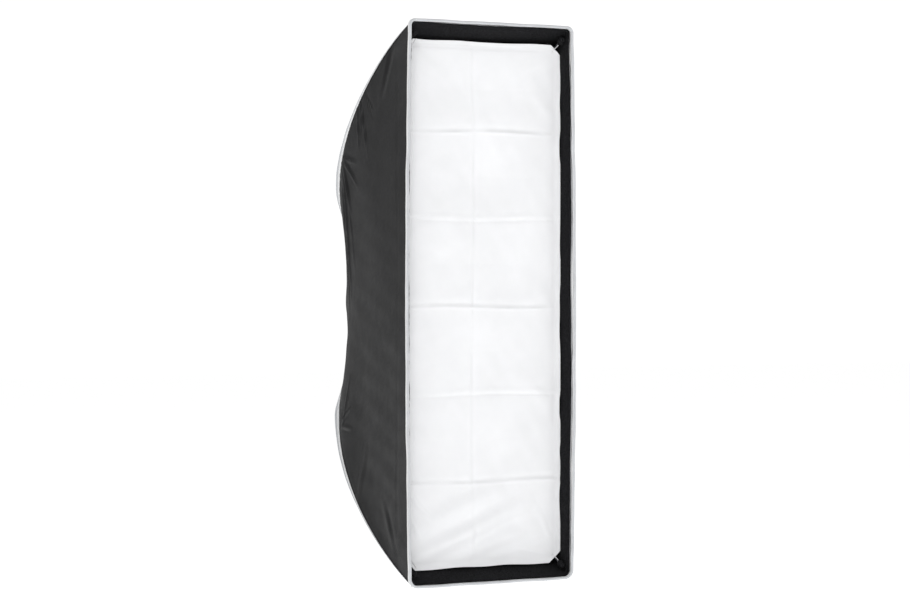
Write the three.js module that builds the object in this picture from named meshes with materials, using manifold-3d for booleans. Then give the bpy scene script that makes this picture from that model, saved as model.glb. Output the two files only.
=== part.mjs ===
// Strip softbox with a folding four-rod frame on a rotating speed ring with a bayonet insert.
// Millimetres, +Z up. The open front faces -Y. The origin is the centre of the bayonet's seat
// plane, where the softbox rests against the lamp: the lamp lies on the +Y side.
import * as THREE from 'three';
import { mergeVertices } from 'three/addons/utils/BufferGeometryUtils.js';
import Module from 'manifold-3d';

const wasm = await Module();
wasm.setup();

// ---- driving dimensions -------------------------------------------------------------------

const RIM_Y = -420; // plane of the front rim
const RIM_HALF_WIDTH = 148.5;
const RIM_HALF_HEIGHT = 452;
const RIM_CORNER_RADIUS = 12;
const RIM_BOW = 5; // how far the middle of each long rim edge stands out
const RIM_BINDING_DEPTH = 6.5;
const RIM_BINDING_THICKNESS = 5.5;

// One corner seam of the fabric shell, from the rear collar to the front corner.
// It is given for the corner at +X +Z, and the other three are its mirror images.
const SEAM = new THREE.CubicBezierCurve3(
  new THREE.Vector3(58, -22, 80),
  new THREE.Vector3(150, -14, 201),
  new THREE.Vector3(150, -235, 379),
  new THREE.Vector3(142.5, -417, 446),
);
const SEAM_FRONT = 0.993; // where the panels end, behind the rim binding
const REAR_SIDE = 85; // from the axis to the fabric's rear edge, at the sides
const REAR_END = 88; // and at the top and bottom
const SIDE_BEND = { x: 122, y: -112 }; // control point of a side panel's middle line
const END_SAG = 5;
const FABRIC = 1.2; // thickness of the shell: outer cloth and silver lining
const SEAM_GAP = 2; // from a panel's edge to the seam line
const GAP = 0.3; // between touching pieces

const FIN_HEIGHT = 7.5; // seam binding, standing out from the seam
const FIN_THICKNESS = 2.4;
const FIN_START = 0.07;
const FIN_END = 0.985;

const BAND_WIDTH = 27;
const BAND_THICKNESS = 1;
const END_BAND_AT = 0.96; // middle of the top and bottom tapes, as a share of the way to the rim
const END_BAND_CLEARANCE = 1.2; // between the panel and the back of the top and bottom tapes
const END_BAND_SHORT = 20; // the top and bottom tapes end this far from the corner seams
const SIDE_BAND_CLEARANCE = 0.9;
const SIDE_BAND_REACH = [0.915, 0.995]; // shares of the way to the rim
const SIDE_BAND_TRIM = 0.025; // left free at both ends of the side tapes, as a share of the height
const DIFFUSER_Y = -378; // the front diffuser lies this far back, 42 mm behind the rim
const DIFFUSER_HALF_WIDTH = 138.5;
const DIFFUSER_HALF_HEIGHT = 424;
const DIFFUSER_CORNER_CUT = 22;
const DIFFUSER_BOW = 3; // how far its long edges bow out
const CLOTH = 1;
const BAFFLE_Y = -215; // the inner diffuser
const BAFFLE_HALF_WIDTH = 92;
const BAFFLE_HALF_HEIGHT = 270;
const BAFFLE_PULL = 14; // how far its edges draw in between the corner straps
const STRAP_WIDTH = 8;
const STRAP_THICKNESS = 1;
const STRAP_END_ON_ROD = 0.62; // share of the way along the rod
const STRAP_CLEARANCE = 1.5; // between the strap's end and the rod

const RING_RADIUS = 76; // speed ring
const RING_BORE = 57;
const RING_SEAT_RADIUS = 66.5;
const RING_FRONT_Y = -30;
const RING_SEAT_Y = -16.4;
const RING_REAR_Y = -3;
const INSERT_RADIUS = 66; // bayonet insert that turns in the ring
const INSERT_NECK = 63.4; // its rear part, inside the retaining ring
const INSERT_WEB = 60; // inside of its rim
const INSERT_FLANGE_Y = -7; // front of its flange, which the bayonet plate screws to
const COLLAR_INNER = 45;
const COLLAR_OUTER = 48;
const COLLAR_REAR_Y = 9;
const LUG_RADIUS = 54;
const LUG_THICKNESS = 2.5;
const LUG_ANGLE = THREE.MathUtils.degToRad(22);
const PLATE_SCREW_CIRCLE = 51.5;
const PLATE_RADIUS = 55.5;
const PLATE_THICKNESS = 2.4;

const HINGE_X = 48; // rod socket hinges: axis parallel to X through y, z
const HINGE_Y = -39;
const HINGE_Z = 80;
const CHEEK_ROOT_Z = 44; // where the cheeks join the ring
const PIN_RADIUS = 2;
const CHEEK_THICKNESS = 3;
const CHEEK_REAR_Y = -26;
const KNUCKLE_WIDTH = 16;
const KNUCKLE_RADIUS = 6.2;
const NECK = 12; // from the hinge axis out to the start of the barrel
const BARREL_RADIUS = 6.2;
const BARREL_LENGTH = 42;
const BARREL_DIRECTION = new THREE.Vector3(0.678, 0.03, 0.733).normalize();
const ROD_RADIUS = 2;
const ROD_STEPS = 26;
const ROD_LEAVES = 44; // where the rod starts to bow, along the barrel
const ROD_SHOULDER = 70; // the first control point, beyond that
const ROD_BEND = new THREE.Vector3(152.5, -209, 365);
const ROD_TIP = new THREE.Vector3(134, -402, 430);
const BUTTON_RADIUS = 3.2;
const BUTTON_AT = 24; // along the barrel

const KNOB_Y = -10; // clamp screw, along +X
const KNOB_RADIUS = 8;
const SCREW_RADIUS = 3;

// ---- materials ------------------------------------------------------------------------------

const finish = (color, roughness, metalness) => ({ color, roughness, metalness });
const CHARCOAL = finish(0x3a3a3c, 0.6, 0);
const LOOP = finish(0x1c1c1f, 0.95, 0);
const BINDING = finish(0xdcdee0, 0.8, 0);
const WHITE = finish(0xeff1f4, 0.85, 0);
const STEEL = finish(0xb8babd, 0.3, 1);
const SPRING_STEEL = finish(0x8e9094, 0.35, 1);
const ALUMINIUM = finish(0x2a2b2d, 0.45, 1);
const PLASTIC = finish(0x18181a, 0.5, 0);
const WEBBING = finish(0x222226, 0.9, 0);

const softbox = new THREE.Group();

function add(name, geometry, look) {
  const mesh = new THREE.Mesh(closed(geometry), new THREE.MeshStandardMaterial(look));
  mesh.name = name;
  softbox.add(mesh);
  return mesh;
}

// ---- solids -----------------------------------------------------------------------------------

function signedVolume(geometry) {
  const position = geometry.attributes.position;
  const index = geometry.index.array;
  const a = new THREE.Vector3();
  const b = new THREE.Vector3();
  const c = new THREE.Vector3();
  let volume = 0;
  for (let i = 0; i < index.length; i += 3) {
    a.fromBufferAttribute(position, index[i]);
    b.fromBufferAttribute(position, index[i + 1]);
    c.fromBufferAttribute(position, index[i + 2]);
    volume += a.dot(b.cross(c)) / 6;
  }
  return volume;
}

// Shares the vertices that meet, drops the empty triangles and turns the faces outward.
function closed(source) {
  const bare = source.clone();
  bare.deleteAttribute('normal');
  bare.deleteAttribute('uv');
  const geometry = mergeVertices(bare, 1e-4);
  const old = geometry.index.array;
  const index = [];
  for (let i = 0; i < old.length; i += 3) {
    const [a, b, c] = [old[i], old[i + 1], old[i + 2]];
    if (a !== b && b !== c && c !== a) index.push(a, b, c);
  }
  geometry.setIndex(index);
  if (signedVolume(geometry) < 0) geometry.setIndex(index.reverse());
  geometry.computeVertexNormals();
  return geometry;
}

function toManifold(source) {
  const geometry = closed(source);
  return new wasm.Manifold(new wasm.Mesh({
    numProp: 3,
    vertProperties: new Float32Array(geometry.attributes.position.array),
    triVerts: new Uint32Array(geometry.index.array),
  }));
}

function fromManifold(manifold) {
  const mesh = manifold.getMesh();
  const geometry = new THREE.BufferGeometry();
  geometry.setAttribute('position', new THREE.BufferAttribute(mesh.vertProperties, 3));
  geometry.setIndex(new THREE.BufferAttribute(mesh.triVerts, 1));
  return geometry;
}

function combine(added, removed = []) {
  let result = toManifold(added[0]);
  for (const piece of added.slice(1)) result = result.add(toManifold(piece));
  for (const piece of removed) result = result.subtract(toManifold(piece));
  return fromManifold(result);
}

// A solid from a list of closed loops of points, each joined to the next, with flat ends.
function loft(loops) {
  const sides = loops[0].length;
  const points = loops.flat();
  const index = [];
  for (let i = 0; i < loops.length - 1; i += 1) {
    for (let j = 0; j < sides; j += 1) {
      const a = i * sides + j;
      const b = i * sides + ((j + 1) % sides);
      index.push(a, b, b + sides, a, b + sides, a + sides);
    }
  }
  const last = (loops.length - 1) * sides;
  for (let j = 1; j < sides - 1; j += 1) {
    index.push(0, j + 1, j);
    index.push(last, last + j, last + j + 1);
  }
  const geometry = new THREE.BufferGeometry().setFromPoints(points);
  geometry.setIndex(index);
  return geometry;
}

// A thin sheet with the given point and inward thickness at (u, v), as one closed solid.
function sheet(pointAt, outset, inset, stepsU, stepsV, from = [0, 0], to = [1, 1]) {
  const layers = [[], []];
  for (let i = 0; i <= stepsU; i += 1) {
    for (let j = 0; j <= stepsV; j += 1) {
      const u = THREE.MathUtils.lerp(from[0], to[0], i / stepsU);
      const v = THREE.MathUtils.lerp(from[1], to[1], j / stepsV);
      const point = pointAt(u, v);
      const normal = normalAt(pointAt, u, v);
      layers[0].push(point.clone().addScaledVector(normal, outset));
      layers[1].push(point.clone().addScaledVector(normal, inset));
    }
  }
  const row = stepsV + 1;
  const size = row * (stepsU + 1);
  const index = [];
  for (let i = 0; i < stepsU; i += 1) {
    for (let j = 0; j < stepsV; j += 1) {
      const a = i * row + j;
      index.push(a, a + row, a + row + 1, a, a + row + 1, a + 1);
      index.push(size + a, size + a + row + 1, size + a + row, size + a, size + a + 1, size + a + row + 1);
    }
  }
  const wall = (a, b) => index.push(a, b, size + b, a, size + b, size + a);
  for (let j = 0; j < stepsV; j += 1) {
    wall(j, j + 1);
    wall(stepsU * row + j + 1, stepsU * row + j);
  }
  for (let i = 0; i < stepsU; i += 1) {
    wall((i + 1) * row, i * row);
    wall(i * row + stepsV, (i + 1) * row + stepsV);
  }
  const geometry = new THREE.BufferGeometry().setFromPoints([...layers[0], ...layers[1]]);
  geometry.setIndex(index);
  return geometry;
}

// The unit normal of a surface, on the side away from the softbox's axis and towards the rear.
function normalAt(pointAt, u, v) {
  const step = 1e-3;
  const along = pointAt(u + step, v).sub(pointAt(u - step, v));
  const across = pointAt(u, v + step).sub(pointAt(u, v - step));
  const normal = along.cross(across).normalize();
  const point = pointAt(u, v);
  const outward = new THREE.Vector3(point.x, 150, point.z);
  return normal.dot(outward) < 0 ? normal.negate() : normal;
}

function ring(inner, outer, front, rear, segments = 48) {
  const profile = [[inner, front], [outer, front], [outer, rear], [inner, rear], [inner, front]];
  return new THREE.LatheGeometry(profile.map(([r, y]) => new THREE.Vector2(r, y)), segments);
}

function lathe(profile, segments = 48) {
  return new THREE.LatheGeometry(profile.map(([r, y]) => new THREE.Vector2(r, y)), segments);
}

// A cylinder from one point to another.
function rod(from, to, radius, segments = 12) {
  const axis = to.clone().sub(from);
  const geometry = new THREE.CylinderGeometry(radius, radius, axis.length(), segments);
  const turn = new THREE.Quaternion().setFromUnitVectors(new THREE.Vector3(0, 1, 0), axis.normalize());
  geometry.applyQuaternion(turn);
  const middle = from.clone().add(to).multiplyScalar(0.5);
  geometry.translate(middle.x, middle.y, middle.z);
  return geometry;
}

function box(low, high) {
  const size = high.map((value, i) => value - low[i]);
  const geometry = new THREE.BoxGeometry(...size);
  geometry.translate(...low.map((value, i) => value + size[i] / 2));
  return geometry;
}

// A lathe profile turned from the Y axis onto a direction and moved to a point.
function latheAlong(profile, start, direction, segments = 12) {
  const geometry = lathe(profile, segments);
  const turn = new THREE.Quaternion().setFromUnitVectors(new THREE.Vector3(0, 1, 0), direction);
  geometry.applyQuaternion(turn);
  geometry.translate(start.x, start.y, start.z);
  return geometry;
}

// ---- the fabric shell -------------------------------------------------------------------------

const mirrored = (point, sideX, sideZ) => new THREE.Vector3(point.x * sideX, point.y, point.z * sideZ);
const seamAt = (t, sideX, sideZ) => mirrored(SEAM.getPoint(t), sideX, sideZ);

// A patch ruled between two corner seams, whose middle line follows a profile of its own.
function patch(seamA, seamB, middleAt) {
  return (u, v) => {
    const t = u * SEAM_FRONT;
    const middle = seamA(t).lerp(seamB(t), 0.5);
    const pull = middleAt(u, middle).sub(middle);
    return seamA(t).lerp(seamB(t), v).addScaledVector(pull, 1 - (2 * v - 1) ** 2);
  };
}

// The long side panels are drawn in between the rods, almost straight from the ring to the rim.
function sidePatch(sideX) {
  const front = SEAM.getPoint(SEAM_FRONT);
  const profile = new THREE.QuadraticBezierCurve3(
    new THREE.Vector3(sideX * REAR_SIDE, SEAM.v0.y, 0),
    new THREE.Vector3(sideX * SIDE_BEND.x, SIDE_BEND.y, 0),
    new THREE.Vector3(sideX * (front.x + RIM_BOW), front.y, 0),
  );
  return patch((t) => seamAt(t, sideX, -1), (t) => seamAt(t, sideX, 1), (u) => profile.getPoint(u));
}

// The short panels at the top and bottom stand out round the ring and sag a little beyond it.
function endPatch(sideZ) {
  const middleAt = (u, chord) => {
    const lift = (REAR_END - SEAM.v0.z) * (1 - u) ** 2 - END_SAG * Math.sin(Math.PI * u);
    return chord.clone().add(new THREE.Vector3(0, 0, sideZ * lift));
  };
  return patch((t) => seamAt(t, -1, sideZ), (t) => seamAt(t, 1, sideZ), middleAt);
}

// The same patch stopped short of both seams by a fixed distance.
function trimmed(surface, gap) {
  return (u, v) => {
    const width = surface(u, 0).distanceTo(surface(u, 1));
    return surface(u, THREE.MathUtils.lerp(gap / width, 1 - gap / width, v));
  };
}

const SIDES = { left: sidePatch(-1), right: sidePatch(1) };
const ENDS = { top: endPatch(1), bottom: endPatch(-1) };

function addPanels() {
  for (const [name, surface] of Object.entries(SIDES)) {
    add(`${name}_panel`, sheet(trimmed(surface, SEAM_GAP), 0, -FABRIC, 11, 18), CHARCOAL);
  }
  for (const [name, surface] of Object.entries(ENDS)) {
    add(`${name}_panel`, sheet(trimmed(surface, SEAM_GAP), 0, -FABRIC, 11, 10), CHARCOAL);
  }
}

// The light tape that stands out along one corner seam, low at the front and full at the rear.
function seamBinding(sideX, sideZ) {
  const side = SIDES[sideX < 0 ? 'left' : 'right'];
  const end = ENDS[sideZ > 0 ? 'top' : 'bottom'];
  const loops = [];
  const steps = 16;
  for (let i = 0; i <= steps; i += 1) {
    const t = THREE.MathUtils.lerp(FIN_START, FIN_END, i / steps);
    const u = t / SEAM_FRONT;
    const base = seamAt(t, sideX, sideZ);
    const out = normalAt(side, u, sideZ > 0 ? 0.999 : 0.001);
    out.add(normalAt(end, u, sideX > 0 ? 0.999 : 0.001)).normalize();
    const along = seamAt(t + 1e-3, sideX, sideZ).sub(seamAt(t - 1e-3, sideX, sideZ)).normalize();
    const across = out.clone().cross(along).normalize();
    const height = FIN_HEIGHT * Math.min(1, 0.3 + 1.4 * (1 - u));
    const corner = (rise, shift) => base.clone()
      .addScaledVector(out, rise).addScaledVector(across, shift * FIN_THICKNESS / 2);
    loops.push([corner(0.8, -1), corner(0.8, 1), corner(height, 1), corner(height, -1)]);
  }
  return loft(loops);
}

// ---- the front rim ----------------------------------------------------------------------------

// The rim's outline at a given distance inside its outer edge, for one end with its two corners.
function endOutline(inset, sideZ) {
  const radius = RIM_CORNER_RADIUS - inset;
  const centre = [RIM_HALF_WIDTH - RIM_CORNER_RADIUS, RIM_HALF_HEIGHT - RIM_CORNER_RADIUS];
  const points = [];
  const arcSteps = 5;
  for (const sideX of [-1, 1]) {
    for (let i = 0; i <= arcSteps; i += 1) {
      const turn = sideX < 0 ? i / arcSteps : 1 - i / arcSteps;
      const angle = turn * Math.PI / 2;
      const x = sideX * (centre[0] + radius * Math.cos(angle));
      points.push([x, sideZ * (centre[1] + radius * Math.sin(angle))]);
    }
  }
  return points;
}

function bar(outer, inner, front, rear) {
  const loops = outer.map(([x, z], i) => {
    const [innerX, innerZ] = inner[i];
    return [
      new THREE.Vector3(x, front, z), new THREE.Vector3(x, rear, z),
      new THREE.Vector3(innerX, rear, innerZ), new THREE.Vector3(innerX, front, innerZ),
    ];
  });
  return loft(loops);
}

function addRimBindings() {
  const rear = RIM_Y + RIM_BINDING_DEPTH;
  for (const [name, sideZ] of [['top', 1], ['bottom', -1]]) {
    const outline = (inset) => endOutline(inset, sideZ);
    add(`${name}_rim_binding`, bar(outline(0), outline(RIM_BINDING_THICKNESS), RIM_Y, rear), BINDING);
  }
  const half = RIM_HALF_HEIGHT - RIM_CORNER_RADIUS - GAP;
  const steps = 12;
  for (const [name, sideX] of [['left', -1], ['right', 1]]) {
    const line = (inset) => Array.from({ length: steps + 1 }, (unused, i) => {
      const z = THREE.MathUtils.lerp(-half, half, i / steps);
      const bow = RIM_BOW * (1 - (z / half) ** 2);
      return [sideX * (RIM_HALF_WIDTH + bow - inset), z];
    });
    add(`${name}_rim_binding`, bar(line(0), line(RIM_BINDING_THICKNESS), RIM_Y, rear), BINDING);
  }
}

// Flat loop tape on the inside of the top and bottom lips, and curved tape on the sides.
function addLoopBands() {
  for (const [name, sideZ] of [['top', 1], ['bottom', -1]]) {
    const surface = ENDS[name];
    const normal = normalAt(surface, END_BAND_AT, 0.5);
    const centre = surface(END_BAND_AT, 0.5).addScaledVector(normal, -FABRIC - END_BAND_CLEARANCE);
    const slope = new THREE.Vector3(0, normal.z * sideZ, -normal.y * sideZ);
    const half = SEAM.v3.x - END_BAND_SHORT;
    const section = (x) => [[-0.5, 0], [0.5, 0], [0.5, 1], [-0.5, 1]].map(([along, deep]) => centre.clone()
      .addScaledVector(slope, along * BAND_WIDTH)
      .addScaledVector(normal, -deep * BAND_THICKNESS)
      .setX(x));
    add(`${name}_loop_band`, loft([section(-half), section(half)]), LOOP);
  }
  for (const [name, surface] of Object.entries(SIDES)) {
    const inset = -FABRIC - SIDE_BAND_CLEARANCE;
    const [rearU, frontU] = SIDE_BAND_REACH;
    const from = [rearU, SIDE_BAND_TRIM];
    const to = [frontU, 1 - SIDE_BAND_TRIM];
    const tape = sheet(surface, inset, inset - BAND_THICKNESS, 2, 14, from, to);
    add(`${name}_loop_band`, tape, LOOP);
  }
}

// ---- diffusers --------------------------------------------------------------------------------

function clothPlate(shape, y) {
  const geometry = new THREE.ExtrudeGeometry(shape, {
    depth: CLOTH, bevelEnabled: false, curveSegments: 10,
  });
  geometry.rotateX(Math.PI / 2);
  geometry.translate(0, y + CLOTH, 0);
  return geometry;
}

function frontDiffuser() {
  const [w, h, cut] = [DIFFUSER_HALF_WIDTH, DIFFUSER_HALF_HEIGHT, DIFFUSER_CORNER_CUT];
  const bow = DIFFUSER_BOW;
  const shape = new THREE.Shape();
  shape.moveTo(-w + cut, -h);
  shape.lineTo(w - cut, -h);
  shape.lineTo(w, -h + cut);
  shape.quadraticCurveTo(w + bow, 0, w, h - cut);
  shape.lineTo(w - cut, h);
  shape.lineTo(-w + cut, h);
  shape.lineTo(-w, h - cut);
  shape.quadraticCurveTo(-w - bow, 0, -w, -h + cut);
  return clothPlate(shape, DIFFUSER_Y);
}

function innerBaffle() {
  const [w, h] = [BAFFLE_HALF_WIDTH, BAFFLE_HALF_HEIGHT];
  const pull = BAFFLE_PULL;
  const shape = new THREE.Shape();
  shape.moveTo(-w, -h);
  shape.quadraticCurveTo(0, -h + pull, w, -h);
  shape.quadraticCurveTo(w - pull, 0, w, h);
  shape.quadraticCurveTo(0, h - pull, -w, h);
  shape.quadraticCurveTo(-w + pull, 0, -w, -h);
  return clothPlate(shape, BAFFLE_Y);
}

// An elastic strap from the baffle's corner to the rod.
function baffleStrap(sideX, sideZ) {
  const clear = 1; // off the baffle's corner
  const corner = new THREE.Vector3(BAFFLE_HALF_WIDTH + clear, BAFFLE_Y + CLOTH / 2, BAFFLE_HALF_HEIGHT + clear);
  const start = mirrored(corner, sideX, sideZ);
  const end = mirrored(rodPath().getPoint(STRAP_END_ON_ROD), sideX, sideZ);
  const along = end.clone().sub(start).normalize();
  end.addScaledVector(along, -ROD_RADIUS - STRAP_CLEARANCE);
  const wide = along.clone().cross(new THREE.Vector3(0, 1, 0)).normalize();
  const deep = wide.clone().cross(along).normalize();
  const section = (point) => [[-1, -1], [1, -1], [1, 1], [-1, 1]].map(([a, b]) => point.clone()
    .addScaledVector(wide, a * STRAP_WIDTH / 2)
    .addScaledVector(deep, b * STRAP_THICKNESS / 2));
  return loft([section(start), section(end)]);
}

// ---- the bayonet insert -------------------------------------------------------------------------

function insertRing() {
  const rim = INSERT_RADIUS;
  return lathe([
    [COLLAR_OUTER + GAP, INSERT_FLANGE_Y], [INSERT_WEB, INSERT_FLANGE_Y], [INSERT_WEB, RING_SEAT_Y + 0.4],
    [rim, RING_SEAT_Y + 0.4], [rim, RING_REAR_Y - 0.2], [INSERT_NECK, RING_REAR_Y - 0.2], [INSERT_NECK, 0],
    [COLLAR_OUTER + GAP, 0], [COLLAR_OUTER + GAP, INSERT_FLANGE_Y],
  ]);
}

// A block that spans an angle about the Y axis, from one radius to another.
function sector(inner, outer, middleAngle, angle, front, rear) {
  const shape = new THREE.Shape();
  shape.absarc(0, 0, outer, middleAngle - angle / 2, middleAngle + angle / 2, false);
  shape.absarc(0, 0, inner, middleAngle + angle / 2, middleAngle - angle / 2, true);
  const geometry = new THREE.ExtrudeGeometry(shape, {
    depth: rear - front, bevelEnabled: false, curveSegments: 4,
  });
  geometry.rotateX(Math.PI / 2);
  geometry.translate(0, rear, 0);
  return geometry;
}

const thirds = (i) => Math.PI / 2 + i * 2 * Math.PI / 3;

function bayonetPlate() {
  const flangeRear = INSERT_FLANGE_Y - GAP;
  const flangeFront = flangeRear - PLATE_THICKNESS;
  const tube = ring(COLLAR_INNER, COLLAR_OUTER, flangeFront, COLLAR_REAR_Y);
  const flange = ring(COLLAR_INNER + 0.5, PLATE_RADIUS, flangeFront, flangeRear);
  const lugs = [0, 1, 2].map((i) => sector(
    COLLAR_OUTER - 1, LUG_RADIUS, thirds(i), LUG_ANGLE, COLLAR_REAR_Y - LUG_THICKNESS, COLLAR_REAR_Y,
  ));
  return combine([tube, flange, ...lugs]);
}

function plateScrew(i) {
  const angle = thirds(i) + Math.PI / 3;
  const headY = INSERT_FLANGE_Y - 2 * GAP - PLATE_THICKNESS;
  const place = new THREE.Vector3(
    Math.cos(angle) * PLATE_SCREW_CIRCLE, headY, Math.sin(angle) * PLATE_SCREW_CIRCLE,
  );
  const profile = [[0, 0], [2.9, 0], [2.9, 1.2], [1.9, 2.1], [0, 2.1]];
  const head = latheAlong(profile, place, new THREE.Vector3(0, -1, 0));
  const slot = box([place.x - 0.4, headY - 3, place.z - 2], [place.x + 0.4, headY - 1.2, place.z + 2]);
  return combine([head], [slot]);
}

// ---- the speed ring -----------------------------------------------------------------------------

// One cheek of a rod socket's clevis, seen along X, with the pin's hole.
function cheekShape() {
  const radius = KNUCKLE_RADIUS + 0.8;
  const shape = new THREE.Shape();
  shape.moveTo(CHEEK_REAR_Y, CHEEK_ROOT_Z);
  shape.lineTo(CHEEK_REAR_Y, HINGE_Z - 6);
  shape.lineTo(HINGE_Y + radius, HINGE_Z);
  shape.absarc(HINGE_Y, HINGE_Z, radius, 0, Math.PI, false);
  shape.lineTo(HINGE_Y - radius, HINGE_Z - 10);
  shape.lineTo(RING_FRONT_Y - 0.5, CHEEK_ROOT_Z);
  const hole = new THREE.Path();
  hole.absarc(HINGE_Y, HINGE_Z, PIN_RADIUS + GAP, 0, 2 * Math.PI, true);
  shape.holes.push(hole);
  return shape;
}

// The cheek's outline lies in the (y, z) plane and is made thick along X.
function cheek(startX, sideX, sideZ) {
  const geometry = new THREE.ExtrudeGeometry(cheekShape(), {
    depth: CHEEK_THICKNESS, bevelEnabled: false, curveSegments: 8,
  });
  geometry.applyMatrix4(new THREE.Matrix4().set(
    0, 0, sideX, sideX * startX,
    1, 0, 0, 0,
    0, sideZ, 0, 0,
    0, 0, 0, 1,
  ));
  return geometry;
}

const CORNERS = [
  ['top_left', -1, 1], ['top_right', 1, 1], ['bottom_left', -1, -1], ['bottom_right', 1, -1],
];
const CHEEK_OFFSET = KNUCKLE_WIDTH / 2 + GAP;

function speedRing() {
  const body = lathe([
    [RING_BORE, RING_FRONT_Y], [RING_RADIUS, RING_FRONT_Y], [RING_RADIUS, RING_REAR_Y],
    [RING_SEAT_RADIUS, RING_REAR_Y], [RING_SEAT_RADIUS, RING_SEAT_Y], [RING_BORE, RING_SEAT_Y],
    [RING_BORE, RING_FRONT_Y],
  ]);
  const cheeks = CORNERS.flatMap(([, sideX, sideZ]) => [
    cheek(HINGE_X - CHEEK_OFFSET - CHEEK_THICKNESS, sideX, sideZ),
    cheek(HINGE_X + CHEEK_OFFSET, sideX, sideZ),
  ]);
  const onScrewAxis = (x) => new THREE.Vector3(x, KNOB_Y, 0);
  const boss = rod(onScrewAxis(RING_RADIUS - 5), onScrewAxis(RING_RADIUS + 3), 6.5, 16);
  const tapped = rod(onScrewAxis(RING_BORE), onScrewAxis(RING_RADIUS + 9), SCREW_RADIUS + GAP, 12);
  return combine([body, ...cheeks, boss], [tapped]);
}

function addSpeedRing() {
  add('speed_ring', speedRing(), ALUMINIUM);
  const retainer = ring(INSERT_NECK + 0.5, RING_RADIUS - 3, RING_REAR_Y + GAP, RING_REAR_Y + 1.8);
  add('retaining_ring', retainer, STEEL);
  for (const [name, sideX, sideZ] of CORNERS) {
    const reach = CHEEK_OFFSET + CHEEK_THICKNESS + 1;
    const from = new THREE.Vector3(sideX * (HINGE_X - reach), HINGE_Y, sideZ * HINGE_Z);
    const to = new THREE.Vector3(sideX * (HINGE_X + reach), HINGE_Y, sideZ * HINGE_Z);
    add(`hinge_pin_${name}`, rod(from, to, PIN_RADIUS, 8), STEEL);
  }
}

// The fabric collar behind the panels' rear edges, with the sleeve that grips the ring.
function rearCollar() {
  const front = SEAM.v0.y + 1.1;
  const thickness = 1.2;
  const lap = 1.05; // it laps over the panels' rear edges
  const edge = [SEAM.v0.x, SEAM.v0.z, REAR_SIDE, REAR_END];
  const [cornerX, cornerZ, side, end] = edge.map((size) => size * lap);
  const shape = new THREE.Shape();
  shape.moveTo(-cornerX, -cornerZ);
  shape.quadraticCurveTo(0, -2 * end + cornerZ, cornerX, -cornerZ);
  shape.quadraticCurveTo(2 * side - cornerX, 0, cornerX, cornerZ);
  shape.quadraticCurveTo(0, 2 * end - cornerZ, -cornerX, cornerZ);
  shape.quadraticCurveTo(-2 * side + cornerX, 0, -cornerX, -cornerZ);
  const plate = new THREE.ExtrudeGeometry(shape, {
    depth: thickness, bevelEnabled: false, curveSegments: 10,
  });
  plate.rotateX(Math.PI / 2);
  plate.translate(0, front + thickness, 0);
  const inner = RING_RADIUS + 0.6;
  const sleeve = ring(inner - 2, inner + 1.4, front, front + 3.4);
  const hole = rod(new THREE.Vector3(0, front - 5, 0), new THREE.Vector3(0, front + 9, 0), inner, 48);
  return combine([plate, sleeve], [hole]);
}

function addClampScrew() {
  const along = new THREE.Vector3(1, 0, 0);
  const onAxis = (x) => new THREE.Vector3(x, KNOB_Y, 0);
  const tip = INSERT_RADIUS + 0.9;
  const gripStart = RING_RADIUS + 5;
  const screwEnd = gripStart + 8;
  add('clamp_screw', rod(onAxis(tip), onAxis(screwEnd), SCREW_RADIUS, 12), STEEL);
  const grip = latheAlong(
    [[0, 0], [5, 0], [KNOB_RADIUS, 4], [KNOB_RADIUS, 14], [KNOB_RADIUS - 2, 16], [0, 16], [0, 0]],
    onAxis(gripStart), along, 24,
  );
  const flutes = 6;
  const cuts = Array.from({ length: flutes }, (unused, i) => {
    const angle = i * 2 * Math.PI / flutes;
    const offset = new THREE.Vector3(0, Math.cos(angle) * 9.6, Math.sin(angle) * 9.6);
    return rod(onAxis(gripStart + 3).add(offset), onAxis(gripStart + 18).add(offset), 3, 8);
  });
  const bore = rod(onAxis(gripStart - 2), onAxis(screwEnd + GAP), SCREW_RADIUS + GAP, 12);
  add('clamp_knob', combine([grip], [...cuts, bore]), PLASTIC);
}

// ---- rods ---------------------------------------------------------------------------------------

const BARREL_START = new THREE.Vector3(HINGE_X, HINGE_Y, HINGE_Z + NECK);
const onBarrel = (distance) => BARREL_START.clone().addScaledVector(BARREL_DIRECTION, distance);

// The rod's centre line: straight inside its barrel, then bowed to the front corner.
function rodPath() {
  const leave = onBarrel(ROD_LEAVES);
  const path = new THREE.CurvePath();
  path.add(new THREE.LineCurve3(onBarrel(8), leave));
  path.add(new THREE.CubicBezierCurve3(leave, onBarrel(ROD_LEAVES + ROD_SHOULDER), ROD_BEND, ROD_TIP));
  return path;
}

const tipDirection = () => ROD_TIP.clone().sub(ROD_BEND).normalize();

function mirrorGeometry(geometry, sideX, sideZ) {
  return geometry.applyMatrix4(new THREE.Matrix4().makeScale(sideX, 1, sideZ));
}

function springRod() {
  const circle = new THREE.Shape();
  circle.absarc(0, 0, ROD_RADIUS, 0, 2 * Math.PI, false);
  return new THREE.ExtrudeGeometry(circle, {
    steps: ROD_STEPS, extrudePath: rodPath(), bevelEnabled: false, curveSegments: 4,
  });
}

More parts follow.
